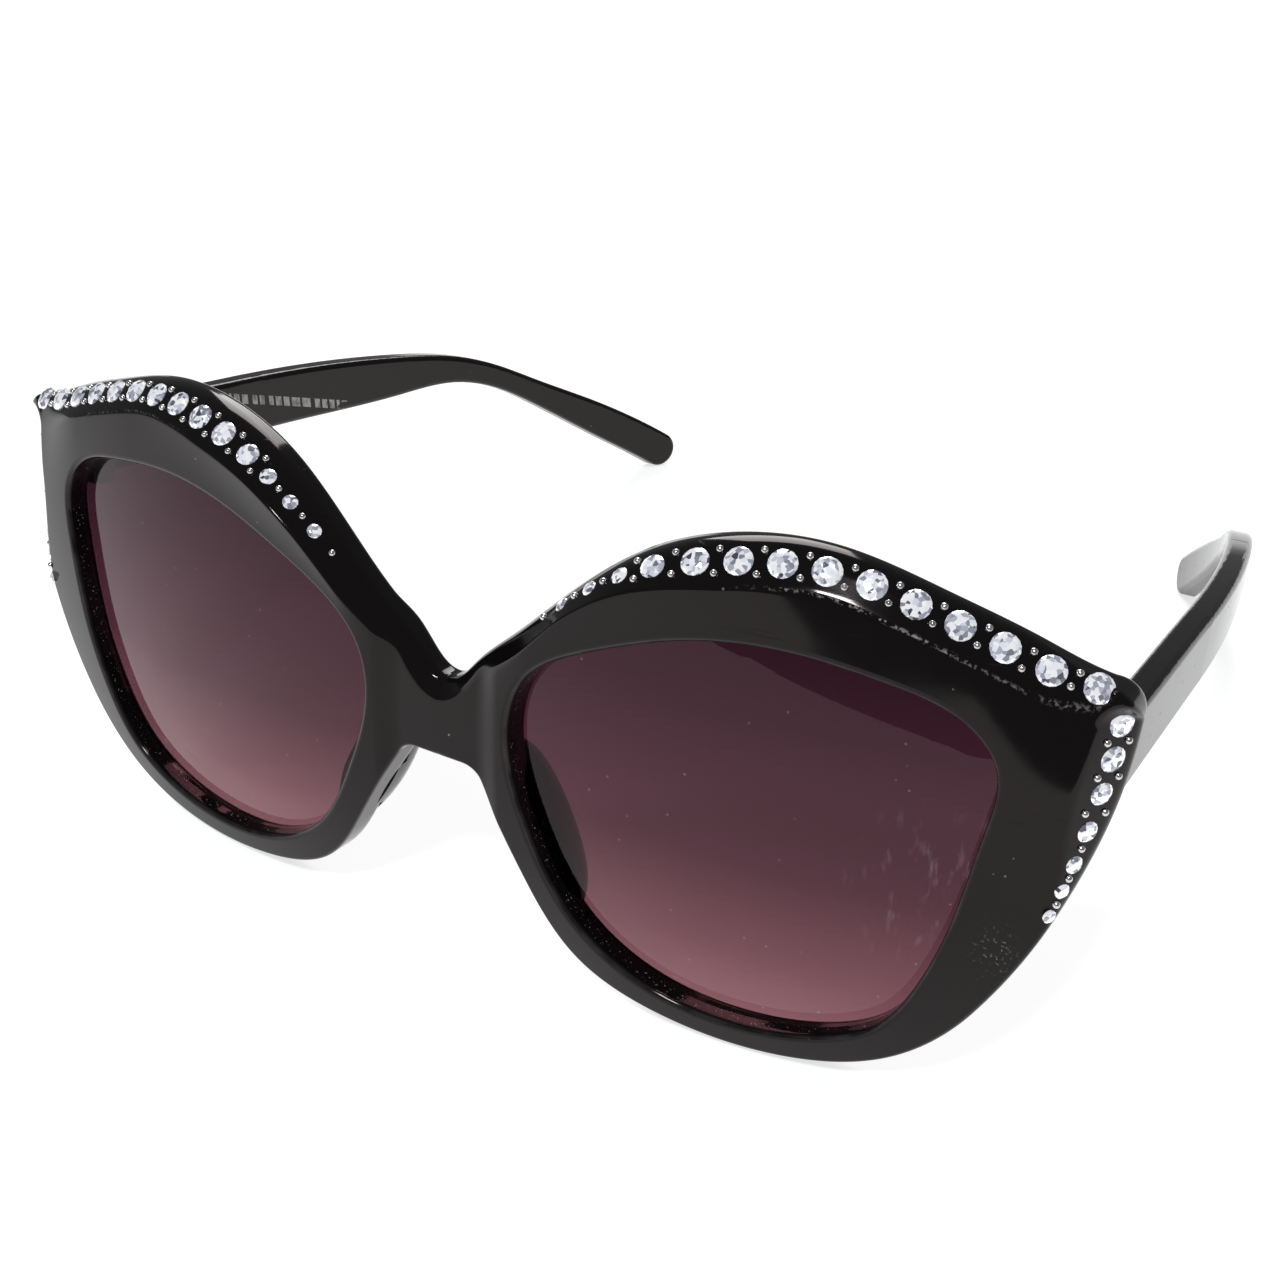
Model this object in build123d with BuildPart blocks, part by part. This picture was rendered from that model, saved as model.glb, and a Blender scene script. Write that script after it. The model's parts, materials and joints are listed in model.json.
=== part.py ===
from build123d import *
from math import cos, exp, log, radians, sin
import os

# Cat eye sunglasses, standing open on a table: +X is the wearer's left and the front faces -Y.
# Lengths are in millimetres, angles in degrees. The front is drawn on its own plane, tipped
# back by LEAN: u runs across it, v up it and w out of its face. The left half is drawn and the
# right half is its mirror image. The origin is the bottom centre of the whole box.

# ---- stance ----
FRONT_Y = -76.08             # depth of the front plane's centre
FRONT_Z = 39.58              # its height above the table
LEAN = 5.94                  # the front tips back by this when the temple tips touch the table

# ---- front frame ----
WALL = 5.2                   # through the frame, front to back
BRIDGE_HALF = 5.5            # half width of the flat on the bridge
RIM_START = 9.5              # from here out the rims have their full height
BRIDGE_LEVEL = 0.3
DOME = (0.158, 0.00337, 0.0035)   # rise, fall across and fall up and down the domed rims
BROW_LIFT = 2.9              # how fast the brow swells out of the dome at the nose end
BROW_LIFT_OUTER = 0.6        # and towards the outer corner
LENS_DEPTH = 2.4             # from the face back to the lens
LENS_THICK = 2.0
GROOVE = 0.8                 # how far a lens reaches into its rim
LENS_FIT = 0.03
END_BACK = 14.8              # rear face of the end pieces, behind the front plane

# ---- jewelled bevel: slope from straight back, roll radius, reach before and after the stones ----
BROW = (52.0, 5.6, 3.0, 3.3)
SIDE = (38.0, 60.0, 3.1, 3.3)
STONE_U = [18.0, 21.4, 24.9] + [28.6 + 4.65 * i for i in range(11)]
STONE_SIZE = [1.8, 1.9, 2.1, 2.9] + [3.3] * 10
SIDE_STONE_V = [14.4, 9.9, 5.9, 1.5, -2.3, -5.4, -8.5]
SIDE_STONE_SIZE = [3.1, 3.0, 2.7, 2.5, 2.1, 1.8, 1.6]
SEAT_DEPTH = 0.8
SEAT_FIT = 0.01
CROWN = 0.17                 # a stone's crown over its girdle, as a part of its diameter
BEAD = 0.95
BEAD_SPREAD = 1.35           # a pair of beads sits this far each side of the stones' line

# ---- temples and hinges ----
TEMPLE_THICK = 3.6
TEMPLE_START = 15.0          # front end of a temple, behind the front plane
BOW_U = 78.7                 # outer face at the widest point of the temples
BOW_CREST = 50.0             # how far back that is
BOW_RADIUS = 295.0
HINGE_U = 71.2
HINGE_BACK = 15.6            # hinge axis, behind the front plane
HINGE_V = 5.0                # bottom of the lowest knuckle
KNUCKLE = 1.6
KNUCKLE_GAP = 0.05
BARREL_R = 1.5
SCREW_R = 0.6
SCREW_FIT = 0.02
SCREW_HEAD_R = 1.1
SCREW_HEAD = 0.6
LEAF = 1.0                   # thickness of a hinge leaf

TIP = radians(LEAN)
FRONT = Plane((0, FRONT_Y, FRONT_Z), x_dir=(1, 0, 0), z_dir=(0, -cos(TIP), sin(TIP)))
PROFILE = Plane(FRONT.origin, x_dir=(0, cos(TIP), -sin(TIP)), z_dir=(1, 0, 0))
PLAN = Plane(FRONT.origin, x_dir=(1, 0, 0), z_dir=FRONT.y_dir)


def ease(t):
    """0 below 0, 1 above 1 and a smooth step between."""
    t = max(0.0, min(1.0, t))
    return t * t * (3 - 2 * t)


def dome(u, v):
    """Height of a rim's domed face above the front plane."""
    rise, across, along = DOME
    return rise * abs(u) - across * u * u - along * v * v


def face(u, v):
    """Height of the whole front face: domed rims, recessed bridge and swelling brow."""
    a = abs(u)
    bridge = BRIDGE_LEVEL - DOME[2] * v * v
    base = bridge + (dome(a, v) - bridge) * ease((a - BRIDGE_HALF) / (RIM_START - BRIDGE_HALF))
    eye_top = 15.8 - 0.0115 * (a - 43) ** 2
    above_eye = 2.0 * log(1 + exp((v - eye_top) / 2.0)) / 6.5
    lift = BROW_LIFT + (BROW_LIFT_OUTER - BROW_LIFT) * ease((a - 21) / 30)
    return base + lift * above_eye * ease((a - 6) / 8) * (1 - ease((a - 64) / 11))


def to_world(u, v, w):
    return FRONT.from_local_coords((u, v, w))


def surface(height, back, u_range, v_range):
    """A smooth face over the left half, moved back by a distance."""
    rows = []
    for i in range(45):
        u = u_range[0] + (u_range[1] - u_range[0]) * i / 44
        row = []
        for j in range(41):
            v = v_range[0] + (v_range[1] - v_range[0]) * j / 40
            row.append(to_world(u, v, height(u, v) - back))
        rows.append(row)
    return Face.make_surface_from_array_of_points(rows, min_deg=3, max_deg=3)


# ---- outlines, on the front plane ----
with BuildLine() as half_outline:
    top_edge = Spline(
        (0, -0.3), (4.6, 3.2), (9.4, 7.8), (17.5, 15.7), (26.3, 22.5), (36, 26.1),
        (46.5, 26.8), (58.8, 24.0), (68.3, 20.9), (76, 18.1),
        tangents=((1, 0), (1, -0.25)),
    )
    ThreePointArc((76, 18.1), (78.6, 16.8), (79.5, 13.9))
    side_edge = Spline(
        (79.5, 13.9), (79.3, 8.5), (77.3, -3.5), (73.5, -14.8), (68.9, -24.0),
        tangents=((0, -1), (-0.5, -0.87)),
    )
    Spline(
        (68.9, -24.0), (59.4, -34.3), (46.2, -38.5), (32.6, -38.2), (20.1, -33.6),
        (12.4, -23.0), (6.2, -12.0),
        tangents=((-0.5, -0.87), (-0.5, 0.87)),
    )
    ThreePointArc((6.2, -12.0), (5.1, -11.0), (3.7, -10.6))
    Polyline((3.7, -10.6), (0, -10.6), (0, -0.3))

with BuildLine() as eye_outline:
    Spline(
        (10.8, -2.5), (12.6, 3.2), (22.8, 10.6), (32.9, 14.4), (43, 15.8), (55.9, 14.5),
        (62.9, 12.3), (67.3, 7.4), (67.2, -0.2), (64.9, -13.8), (62.6, -21.4), (58.2, -29.3),
        (50.3, -33.7), (41.3, -35.2), (30.5, -33.9), (20.5, -27.7), (13.8, -16.0),
        periodic=True,
    )


# ---- the jewelled bevel ----
def bevel_profile(shape, s):
    """Rise and setback of a bevel at arc length s past the line of stones."""
    slope, roll, _, reach = shape
    start = radians(slope)
    turn = max(0.0, min(s, reach)) / roll
    straight = s - turn * roll
    rise = roll * (cos(start - turn) - cos(start)) + straight * sin(start - turn)
    setback = roll * (sin(start) - sin(start - turn)) + straight * cos(start - turn)
    return rise, setback


def bevel_point(edge, shape, t, s, scale, back):
    """A place on a bevel, at arc length s on the cross-section t along its outline edge.

    The cross-section is scaled by (rise, setback) and its rear edge lies back behind the dome.
    Before t = 0 and after t = 1 the bevel runs straight on."""
    inside = max(0.0, min(1.0, t))
    along = edge % inside
    corner = edge @ inside + along * ((t - inside) * edge.length)
    outward = Vector(-along.Y, along.X)
    top_rise, top_setback = bevel_profile(shape, shape[3])
    rise, setback = bevel_profile(shape, s)
    spot = corner + outward * ((rise - top_rise) * scale[0])
    height = dome(corner.X, corner.Y) - back + (top_setback - setback) * scale[1]
    return Vector(spot.X, spot.Y, height)


def brow_bevel(t, s):
    """The brow bevel: slight over the bridge, full over the rim and upright at the corner."""
    u = (top_edge @ max(0.0, min(1.0, t))).X
    grown = ease((u - 38) / 16)
    turned = ease((u - 67) / 8)
    rise = 0.3 + 0.3 * ease((u - 5) / 11) + 0.45 * ease((u - 20) / 17) - 0.26 * grown
    setback = 0.3 + 0.8 * ease((u - 5) / 14) - 0.2 * grown - 0.45 * turned
    back = 1.9 + ease((u - 20) / 25) - 1.7 * turned
    return bevel_point(top_edge, BROW, t, s, (rise, setback), back)


def side_bevel(t, s):
    """The side bevel, which dies away below the hinge."""
    v = (side_edge @ max(0.0, min(1.0, t))).Y
    size = 1 - ease((6 - v) / 22)
    scale = 0.15 + 0.85 * size
    return bevel_point(side_edge, SIDE, t, s, (scale, scale), 4.4 * size - 0.8)


def bevel_cutter(bevel, shape, first, last):
    """Everything in front of a bevel, between two places along its outline edge."""
    _, _, before, after = shape
    across = [-before - 4, -before, -before / 2, 0, after / 3, after * 2 / 3, after, after + 3]
    rows = []
    for i in range(31):
        t = first + (last - first) * i / 30
        rows.append([to_world(*bevel(t, s)) for s in across])
    skin = Face.make_surface_from_array_of_points(rows, min_deg=3, max_deg=3)
    with BuildPart() as cutter:
        extrude(skin, amount=14, dir=FRONT.z_dir)
    return cutter.part


def place_for(bevel, axis, value):
    """The t at which the line of stones reaches a value of X (across) or Y (up)."""
    low, high = 0.0, 1.0
    falling = getattr(bevel(1, 0), axis) < getattr(bevel(0, 0), axis)
    for _ in range(30):
        middle = (low + high) / 2
        short = getattr(bevel(middle, 0), axis) < value
        if short != falling:
            low = middle
        else:
            high = middle
    return (low + high) / 2


def seat_plane(bevel, t, s):
    """The plane of a seat on a bevel, facing out along the bevel's normal."""
    origin = to_world(*bevel(t, s))
    along = to_world(*bevel(t + 0.005, s)) - to_world(*bevel(t - 0.005, s))
    up = to_world(*bevel(t, s + 0.1)) - to_world(*bevel(t, s - 0.1))
    normal = along.cross(up)
    if normal.dot(FRONT.z_dir) < 0:
        normal = -normal
    return Plane(origin, x_dir=along, z_dir=normal)


def brow_line(u):
    """Where the stones' line runs across the brow bevel: nearer its rear edge at both ends."""
    return 0.9 * (1 - ease((u - 16) / 9)) + 0.3 * ease((u - 45) / 12) + 1.6 * ease((u - 68) / 7)


def bead_seats(bevel, line, stones, lone):
    """Seats of the beads between neighbouring stones: pairs, or one where the stones are small."""
    seats = []
    for i, (stone, following) in enumerate(zip(stones, stones[1:])):
        t, value = [(a + b) / 2 for a, b in zip(stone, following)]
        for spread in [0.0] if i in lone else [-BEAD_SPREAD, BEAD_SPREAD]:
            seats.append(seat_plane(bevel, t, line(value) + spread))
    return seats


def side_line(_):
    return 0.6


brow_stones = [(place_for(brow_bevel, "X", u), u) for u in STONE_U]
side_stones = [(place_for(side_bevel, "Y", v), v) for v in SIDE_STONE_V]
brow_seats = [seat_plane(brow_bevel, t, brow_line(u)) for t, u in brow_stones]
side_seats = [seat_plane(side_bevel, t, side_line(v)) for t, v in side_stones]
end_bead = place_for(brow_bevel, "X", STONE_U[0] - 2.4)
brow_bead_seats = [seat_plane(brow_bevel, end_bead, brow_line(16))]
brow_bead_seats += bead_seats(brow_bevel, brow_line, brow_stones, (0, 1))
side_bead_seats = bead_seats(side_bevel, side_line, side_stones, (3, 4, 5))


# ---- lens and groove, left side ----
def grown_eye(reach):
    """Points round the eye opening, moved outward by a distance."""
    rim = eye_outline.edges()[0]
    points = []
    for i in range(48):
        along = rim % (i / 48)
        points.append(rim @ (i / 48) + Vector(-along.Y, along.X) * reach)
    return points


def lens_blank(reach, fit):
    """A domed slab that reaches past the eye opening, as thick as a lens with a fit all round."""
    skin = surface(dome, LENS_DEPTH - fit, (5, 75), (-41, 22))
    with BuildPart() as blank:
        extrude(skin, amount=LENS_THICK + 2 * fit, dir=FRONT.z_dir * -1)
        with BuildSketch(FRONT):
            with BuildLine():
                Spline(grown_eye(reach), periodic=True)
            make_face()
        extrude(amount=20, both=True, mode=Mode.INTERSECT)
    return blank.part


with BuildPart() as left_lens:
    add(lens_blank(GROOVE, 0))


# ---- hinge, left side: a front leaf with three knuckles, a temple leaf with two ----
AXIS = Plane(to_world(HINGE_U, HINGE_V, -HINGE_BACK), x_dir=(1, 0, 0), z_dir=FRONT.y_dir)
HINGE_TOP = 5 * KNUCKLE


def knuckle_rows(numbers):
    """Bottom and height of the chosen knuckles, measured up the hinge axis."""
    return [(n * KNUCKLE + KNUCKLE_GAP / 2, KNUCKLE - KNUCKLE_GAP) for n in numbers]


def hinge_box(u, back, up):
    """A block beside the hinge axis, given by its limits across, back and up."""
    with BuildPart(AXIS) as block:
        with Locations((u[0], back[0], up[0])):
            Box(u[1] - u[0], back[1] - back[0], up[1] - up[0], align=(Align.MIN,) * 3)
    return block.part


with BuildPart() as left_front_hinge:
    leaf_back = END_BACK - HINGE_BACK
    add(hinge_box((-0.3, 6.2), (leaf_back - LEAF, leaf_back), (0, HINGE_TOP)))
    for low, height in knuckle_rows((1, 3)):
        with Locations(AXIS.offset(low - KNUCKLE_GAP)):
            clear = height + 2 * KNUCKLE_GAP
            Cylinder(BARREL_R + 0.15, clear, align=(Align.CENTER, Align.CENTER, Align.MIN), mode=Mode.SUBTRACT)
    for low, height in knuckle_rows((0, 2, 4)):
        add(hinge_box((-0.3, BARREL_R - 0.3), (leaf_back - LEAF, 0), (low, low + height)))
        with Locations(AXIS.offset(low)):
            Cylinder(BARREL_R, height, align=(Align.CENTER, Align.CENTER, Align.MIN))
    with Locations(AXIS.offset(-1)):
        bore = SCREW_R + SCREW_FIT
        Cylinder(bore, HINGE_TOP + 2, align=(Align.CENTER, Align.CENTER, Align.MIN), mode=Mode.SUBTRACT)

with BuildPart() as left_temple_hinge:
    inner_face = BOW_U - TEMPLE_THICK - HINGE_U
    add(hinge_box((inner_face, inner_face + LEAF), (0.4, 12.4), (0.4, HINGE_TOP - 0.4)))
    for low, height in knuckle_rows((1, 3)):
        add(hinge_box((0, inner_face + 0.2), (-0.2, BARREL_R), (low, low + height)))
        with Locations(AXIS.offset(low)):
            Cylinder(BARREL_R, height, align=(Align.CENTER, Align.CENTER, Align.MIN))
    with Locations(AXIS.offset(-1)):
        bore = SCREW_R + SCREW_FIT
        Cylinder(bore, HINGE_TOP + 2, align=(Align.CENTER, Align.CENTER, Align.MIN), mode=Mode.SUBTRACT)

with BuildPart() as left_hinge_screw:
    with Locations(AXIS):
        Cylinder(SCREW_R, HINGE_TOP, align=(Align.CENTER, Align.CENTER, Align.MIN))
    with Locations(AXIS.offset(HINGE_TOP)):
        Cylinder(SCREW_HEAD_R, SCREW_HEAD, align=(Align.CENTER, Align.CENTER, Align.MIN))
    with Locations(AXIS.offset(HINGE_TOP + SCREW_HEAD)):
        Box(3, 0.3, 0.5, mode=Mode.SUBTRACT)


# ---- front frame: left half, then its mirror image ----
def seat_drill(seats, sizes, depth):
    """Blind round seats bored into the bevel."""
    with BuildPart() as drill:
        for seat, size in zip(seats, sizes):
            with Locations(seat.offset(-depth)):
                bore = size / 2 + SEAT_FIT
                Cylinder(bore, depth + 1.2, align=(Align.CENTER, Align.CENTER, Align.MIN))
    return drill.part


with BuildPart() as left_half:
    extrude(surface(face, 0, (-3, 84), (-43, 31)), amount=WALL, dir=FRONT.z_dir * -1)
    with BuildSketch(FRONT):
        add(half_outline.edges())
        make_face()
    extrude(amount=20, both=True, mode=Mode.INTERSECT)
    with BuildSketch(FRONT.offset(-END_BACK)):
        with BuildLine():
            Polyline((73.4, 4.6), (78.6, 4.6), (78.6, 15), (77.6, 16.9), (73.4, 18.1), (73.4, 4.6))
        make_face()
    extrude(amount=END_BACK - 9.5)
    with BuildSketch(FRONT):
        make_face(eye_outline.edges())
    extrude(amount=20, both=True, mode=Mode.SUBTRACT)
    add(bevel_cutter(brow_bevel, BROW, -0.02, 1.1), mode=Mode.SUBTRACT)
    add(bevel_cutter(side_bevel, SIDE, -0.15, 1.0), mode=Mode.SUBTRACT)
    add(lens_blank(GROOVE + LENS_FIT, LENS_FIT), mode=Mode.SUBTRACT)
    add(seat_drill(brow_seats, STONE_SIZE, SEAT_DEPTH), mode=Mode.SUBTRACT)
    add(seat_drill(side_seats, SIDE_STONE_SIZE, SEAT_DEPTH), mode=Mode.SUBTRACT)
    bead_pins = brow_bead_seats + side_bead_seats
    add(seat_drill(bead_pins, [BEAD] * len(bead_pins), BEAD / 2), mode=Mode.SUBTRACT)
    add(left_front_hinge.part, mode=Mode.SUBTRACT)

with BuildPart() as front_frame:
    add(left_half.part)
    mirror(about=Plane.YZ)


# ---- crystals and beads, left side ----
def crystals(seats, sizes):
    """Round stones on flat backs: girdle flush with the bevel, faceted crown above it."""
    with BuildPart() as stones:
        for seat, size in zip(seats, sizes):
            with BuildSketch(seat.offset(-SEAT_DEPTH)):
                Circle(size / 2)
            extrude(amount=SEAT_DEPTH)
            with BuildSketch(seat):
                RegularPolygon(size / 2, 16)
            with BuildSketch(seat.offset(CROWN * size)):
                RegularPolygon(size * 0.29, 16)
            loft()
    return stones.part


def beads(seats):
    """Silver beads, sunk to their middles."""
    with BuildPart() as row:
        for seat in seats:
            with Locations(seat):
                Sphere(BEAD / 2)
    return row.part


with BuildPart() as left_brow_crystals:
    add(crystals(brow_seats, STONE_SIZE))

with BuildPart() as left_side_crystals:
    add(crystals(side_seats, SIDE_STONE_SIZE))

with BuildPart() as left_brow_beads:
    add(beads(brow_bead_seats))

with BuildPart() as left_side_beads:
    add(beads(side_bead_seats))


# ---- nose pad, left side: a long rounded ridge on the back of the nasal rim, splayed for the nose ----
PAD_SECTIONS = [
    (4.0, 13.0, -17.4, 3.4, 12.2),   # depth behind the front's plane, centre, half width, half length
    (7.6, 13.0, -18.0, 2.9, 10.6),
    (9.5, 13.0, -18.4, 1.5, 7.6),
]

with BuildPart() as left_nose_pad:
    for back, u, v, half_width, half_length in PAD_SECTIONS:
        with BuildSketch(FRONT.offset(-back)):
            with Locations((u, v)):
                Ellipse(half_width, half_length, rotation=27)
    loft()
    fillet(left_nose_pad.faces().sort_by(Axis.Y)[-1].edges(), 0.25)
    add(left_half.part, mode=Mode.SUBTRACT)
    add(lens_blank(GROOVE + 0.2, 0.1), mode=Mode.SUBTRACT)


# ---- temple, left side ----
with BuildPart() as left_temple:
    with BuildSketch(PROFILE):
        with BuildLine():
            Spline(
                (TEMPLE_START, 13.8), (49.6, 12.6), (67.4, 11.5), (85.2, 9.8), (99, 7.7),
                (110, 4.4), (120.7, -0.2), (138.5, -8.0), (155.6, -17.2),
                tangents=((1, -0.03), (0.848, -0.53)),
            )
            ThreePointArc((155.6, -17.2), (157.0, -21.9), (151.9, -23.2))
            Spline(
                (151.9, -23.2), (138.5, -15.5), (120.7, -5.4), (110, -0.2), (99, 2.6),
                (85.2, 2.6), (60, 3.0), (TEMPLE_START, 4.2),
                tangents=((-0.848, 0.53), (-1, 0.03)),
            )
            Line((TEMPLE_START, 4.2), (TEMPLE_START, 13.8))
        make_face()
    extrude(amount=90)
    with BuildSketch(PLAN.offset(-40)):
        inner_u = BOW_U - TEMPLE_THICK
        centre = (BOW_U - BOW_RADIUS, BOW_CREST)
        with BuildLine():
            Line((inner_u, TEMPLE_START), (BOW_U, TEMPLE_START))
            Line((BOW_U, TEMPLE_START), (BOW_U, BOW_CREST))
            outer_arc = CenterArc(centre, BOW_RADIUS, 0, 24)
            inner_arc = CenterArc(centre, BOW_RADIUS - TEMPLE_THICK, 0, 24)
            Line(outer_arc @ 1, inner_arc @ 1)
            Line((inner_u, BOW_CREST), (inner_u, TEMPLE_START))
        make_face()
    extrude(amount=80, mode=Mode.INTERSECT)
    fillet(left_temple.edges().filter_by(lambda edge: edge.length > 30), 0.9)
    add(left_temple_hinge.part, mode=Mode.SUBTRACT)


# ---- right side, labels and files ----
LEFT_PARTS = {
    "lens": left_lens,
    "nose_pad": left_nose_pad,
    "brow_crystals": left_brow_crystals,
    "side_crystals": left_side_crystals,
    "brow_beads": left_brow_beads,
    "side_beads": left_side_beads,
    "front_hinge": left_front_hinge,
    "temple_hinge": left_temple_hinge,
    "hinge_screw": left_hinge_screw,
    "temple": left_temple,
}

os.makedirs("parts", exist_ok=True)
front_frame.part.label = "front_frame"
export_step(front_frame.part, "parts/front_frame.step")
for name, left in LEFT_PARTS.items():
    with BuildPart() as right:
        mirror(left.part, about=Plane.YZ)
    left.part.label = "left_" + name
    right.part.label = "right_" + name
    export_step(left.part, f"parts/left_{name}.step")
    export_step(right.part, f"parts/right_{name}.step")
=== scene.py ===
import bpy
import bmesh
import json
import random
import numpy as np
from math import cos, pi, radians, sin
from mathutils import Matrix, Vector

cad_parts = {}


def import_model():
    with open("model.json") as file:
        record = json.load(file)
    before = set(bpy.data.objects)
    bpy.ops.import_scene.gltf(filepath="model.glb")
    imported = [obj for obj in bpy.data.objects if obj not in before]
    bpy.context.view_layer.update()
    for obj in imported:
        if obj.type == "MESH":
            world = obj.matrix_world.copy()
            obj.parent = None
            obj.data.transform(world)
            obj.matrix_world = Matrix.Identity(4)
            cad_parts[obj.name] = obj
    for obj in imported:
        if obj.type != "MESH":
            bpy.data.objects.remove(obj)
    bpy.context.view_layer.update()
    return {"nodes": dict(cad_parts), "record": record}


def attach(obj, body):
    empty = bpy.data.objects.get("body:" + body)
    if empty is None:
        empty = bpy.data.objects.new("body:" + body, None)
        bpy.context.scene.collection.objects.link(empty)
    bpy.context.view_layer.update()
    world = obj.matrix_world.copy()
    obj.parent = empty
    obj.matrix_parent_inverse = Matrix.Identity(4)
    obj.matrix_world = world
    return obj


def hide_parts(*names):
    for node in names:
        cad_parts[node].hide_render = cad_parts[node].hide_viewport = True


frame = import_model()

# ---- the front's own plane: u across, v up it, w out of its face, in millimetres ----
FRONT_Y, FRONT_Z, LEAN = -76.08, 39.58, radians(5.94)
WALL = 5.2
REAR_ROUND = 1.1


def world(u, v, w):
    """Points of the front's plane as metres in the row frame."""
    s, c = sin(LEAN), cos(LEAN)
    return np.stack([u, FRONT_Y + v * s - w * c, FRONT_Z + v * c + w * s], axis=-1) / 1000


def ease(t):
    t = np.clip(t, 0, 1)
    return t * t * (3 - 2 * t)


def dome(u, v):
    return 0.158 * abs(u) - 0.00337 * u * u - 0.0035 * v * v


def base_face(a, v):
    """The bridge's height near the middle, and the lens dome beyond it."""
    bridge = 0.3 - 0.0035 * v ** 2
    return bridge + (dome(a, v) - bridge) * ease((a - 5.5) / 4)


def face(u, v):
    """Height of the front face without its jewelled bevel."""
    a = abs(u)
    base = base_face(a, v)
    eye_top = 15.8 - 0.0115 * (a - 43) ** 2
    above_eye = 2 * np.logaddexp(0, (v - eye_top) / 2) / 6.5
    lift = 2.9 - 2.3 * ease((a - 21) / 30)
    return base + lift * above_eye * ease((a - 6) / 8) * (1 - ease((a - 64) / 11))


def spline(points, count, closed=False, start=None, end=None):
    """Evenly spread points along a smooth curve through the given ones."""
    p = np.array(points, float)
    if closed:
        p = np.vstack([p, p[:1]])
    chord = np.r_[0, np.cumsum(np.linalg.norm(np.diff(p, axis=0), axis=1))]
    n, h = len(p), np.diff(chord)
    slopes = np.diff(p, axis=0) / h[:, None]
    a, b = np.zeros((n, n)), np.zeros((n, 2))
    for i in range(1, n - 1):
        a[i, i - 1:i + 2] = h[i], 2 * (h[i - 1] + h[i]), h[i - 1]
        b[i] = 3 * (h[i] * slopes[i - 1] + h[i - 1] * slopes[i])
    if closed:
        a[0, [0, 1, n - 2]] = 2 * (h[-1] + h[0]), h[-1], h[0]
        b[0] = 3 * (h[0] * slopes[-1] + h[-1] * slopes[0])
        a[-1, [0, -1]] = 1, -1
    else:
        for i, tangent, slope in ((0, start, slopes[0]), (-1, end, slopes[-1])):
            a[i, i] = 1
            b[i] = slope if tangent is None else np.array(tangent) / np.linalg.norm(tangent)
    m = np.linalg.solve(a, b)
    t = np.linspace(0, chord[-1], count)
    k = np.clip(np.searchsorted(chord, t, side="right") - 1, 0, n - 2)
    x = ((t - chord[k]) / h[k])[:, None]
    hk = h[k][:, None]
    return ((1 + 2 * x) * (1 - x) ** 2 * p[k] + x * (1 - x) ** 2 * hk * m[k]
            + x * x * (3 - 2 * x) * p[k + 1] + x * x * (x - 1) * hk * m[k + 1])


def arc(a, middle, b, count):
    """Points on the circle through three points."""
    (ax, ay), (bx, by), (cx, cy) = a, middle, b
    d = 2 * (ax * (by - cy) + bx * (cy - ay) + cx * (ay - by))
    aa, bb, cc = ax * ax + ay * ay, bx * bx + by * by, cx * cx + cy * cy
    ux = (aa * (by - cy) + bb * (cy - ay) + cc * (ay - by)) / d
    uy = (aa * (cx - bx) + bb * (ax - cx) + cc * (bx - ax)) / d
    t0, t1, t2 = [np.arctan2(y - uy, x - ux) for x, y in (a, middle, b)]
    if (t2 - t0) * (t1 - t0) < 0 or abs(t2 - t0) > pi:
        t2 += 2 * pi * (1 if t1 > t0 else -1)
    t = np.linspace(t0, t2, count)
    r = np.hypot(ax - ux, ay - uy)
    return np.stack([ux + r * np.cos(t), uy + r * np.sin(t)], axis=-1)


# ---- outlines, left half ----
TOP = spline([(0, -0.3), (4.6, 3.2), (9.4, 7.8), (17.5, 15.7), (26.3, 22.5), (36, 26.1), (46.5, 26.8),
              (58.8, 24.0), (68.3, 20.9), (76, 18.1)], 400, start=(1, 0), end=(1, -0.25))
CORNER = arc((76, 18.1), (78.6, 16.8), (79.5, 13.9), 24)
OUTSIDE = spline([(79.5, 13.9), (79.3, 8.5), (77.3, -3.5), (73.5, -14.8), (68.9, -24.0)], 160,
                 start=(0, -1), end=(-0.5, -0.87))
BOTTOM = spline([(68.9, -24.0), (59.4, -34.3), (46.2, -38.5), (32.6, -38.2), (20.1, -33.6), (12.4, -23.0),
                 (6.2, -12.0)], 400, start=(-0.5, -0.87), end=(-0.5, 0.87))
UNDER = np.vstack([arc((6.2, -12.0), (5.1, -11.0), (3.7, -10.6), 8), [(0, -10.6)]])
OUTLINE = np.vstack([TOP[:-1], CORNER[:-1], OUTSIDE[:-1], BOTTOM[:-1], UNDER])
EYE = spline([(10.8, -2.5), (12.6, 3.2), (22.8, 10.6), (32.9, 14.4), (43, 15.8), (55.9, 14.5), (62.9, 12.3),
              (67.3, 7.4), (67.2, -0.2), (64.9, -13.8), (62.6, -21.4), (58.2, -29.3), (50.3, -33.7),
              (41.3, -35.2), (30.5, -33.9), (20.5, -27.7), (13.8, -16.0)], 900, closed=True)


def resample(line, count):
    d = np.r_[0, np.cumsum(np.linalg.norm(np.diff(line, axis=0), axis=1))]
    t = np.linspace(0, d[-1], count)
    return np.stack([np.interp(t, d, line[:, i]) for i in (0, 1)], axis=-1)


# ---- the jewelled bevel, as in the CAD ----
BROW = (radians(52), 5.6, 3.0, 3.3)
SIDE = (radians(38), 60.0, 3.1, 3.3)


def profile(shape, s):
    slope, roll, _, reach = shape
    turn = np.clip(s, 0, reach) / roll
    straight = s - turn * roll
    rise = roll * (np.cos(slope - turn) - cos(slope)) + straight * np.sin(slope - turn)
    setback = roll * (sin(slope) - np.sin(slope - turn)) + straight * np.cos(slope - turn)
    return rise, setback


def brow_size(u):
    grown, turned = ease((u - 38) / 16), ease((u - 67) / 8)
    rise = 0.3 + 0.3 * ease((u - 5) / 11) + 0.45 * ease((u - 20) / 17) - 0.26 * grown
    setback = 0.3 + 0.8 * ease((u - 5) / 14) - 0.2 * grown - 0.45 * turned
    return rise, setback, 1.9 + ease((u - 20) / 25) - 1.7 * turned


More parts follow.
